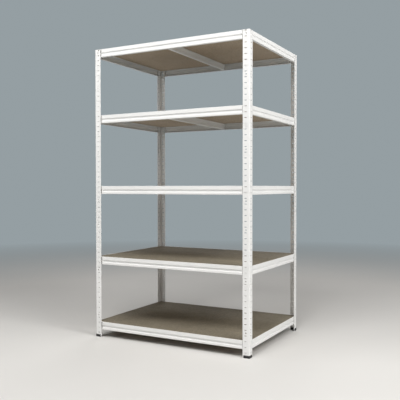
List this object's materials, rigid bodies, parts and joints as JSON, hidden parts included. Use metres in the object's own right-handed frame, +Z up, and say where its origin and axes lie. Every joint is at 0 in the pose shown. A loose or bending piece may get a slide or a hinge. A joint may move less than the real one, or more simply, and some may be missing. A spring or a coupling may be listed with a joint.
{
  "type": "boltless steel shelving unit",
  "caption": "Free-standing boltless shelving: slotted steel angle posts, hook-in beams and fibreboard decks on black feet.",
  "frame": {"origin": "on the floor, at the middle of the footprint", "axes": "+X to the right along the long side, +Y from the front to the back, +Z up"},
  "size_m": [1.0742, 0.7742, 1.826],
  "materials": {
    "white_powder_coat": "satin",
    "fibreboard": "matte",
    "black_plastic": "matte"
  },
  "bodies": {
    "frame": {"post_front_left": "white_powder_coat", "post_front_right": "white_powder_coat", "post_rear_right": "white_powder_coat", "post_rear_left": "white_powder_coat", "beam_front_top": "white_powder_coat", "beam_rear_top": "white_powder_coat", "beam_left_top": "white_powder_coat", "beam_right_top": "white_powder_coat", "deck_support_top": "white_powder_coat", "beam_front_upper": "white_powder_coat", "beam_rear_upper": "white_powder_coat", "beam_left_upper": "white_powder_coat", "beam_right_upper": "white_powder_coat", "deck_support_upper": "white_powder_coat", "beam_front_middle": "white_powder_coat", "beam_rear_middle": "white_powder_coat", "beam_left_middle": "white_powder_coat", "beam_right_middle": "white_powder_coat", "deck_support_middle": "white_powder_coat", "beam_front_lower": "white_powder_coat", "beam_rear_lower": "white_powder_coat", "beam_left_lower": "white_powder_coat", "beam_right_lower": "white_powder_coat", "deck_support_lower": "white_powder_coat", "beam_front_bottom": "white_powder_coat", "beam_rear_bottom": "white_powder_coat", "beam_left_bottom": "white_powder_coat", "beam_right_bottom": "white_powder_coat", "deck_support_bottom": "white_powder_coat", "foot_front_left": "black_plastic", "foot_front_right": "black_plastic", "foot_rear_right": "black_plastic", "foot_rear_left": "black_plastic"},
    "deck_top": {"deck_top": "fibreboard"},
    "deck_upper": {"deck_upper": "fibreboard"},
    "deck_middle": {"deck_middle": "fibreboard"},
    "deck_lower": {"deck_lower": "fibreboard"},
    "deck_bottom": {"deck_bottom": "fibreboard"}
  },
  "joints": [
    {"name": "lift_off_deck_top", "type": "slide", "parent": "frame", "child": "deck_top", "axis": [0, 0, 1], "range_m": [0, 0.2]},
    {"name": "lift_off_deck_upper", "type": "slide", "parent": "frame", "child": "deck_upper", "axis": [0, 0, 1], "range_m": [0, 0.36]},
    {"name": "lift_off_deck_middle", "type": "slide", "parent": "frame", "child": "deck_middle", "axis": [0, 0, 1], "range_m": [0, 0.39]},
    {"name": "lift_off_deck_lower", "type": "slide", "parent": "frame", "child": "deck_lower", "axis": [0, 0, 1], "range_m": [0, 0.39]},
    {"name": "lift_off_deck_bottom", "type": "slide", "parent": "frame", "child": "deck_bottom", "axis": [0, 0, 1], "range_m": [0, 0.36]}
  ]
}
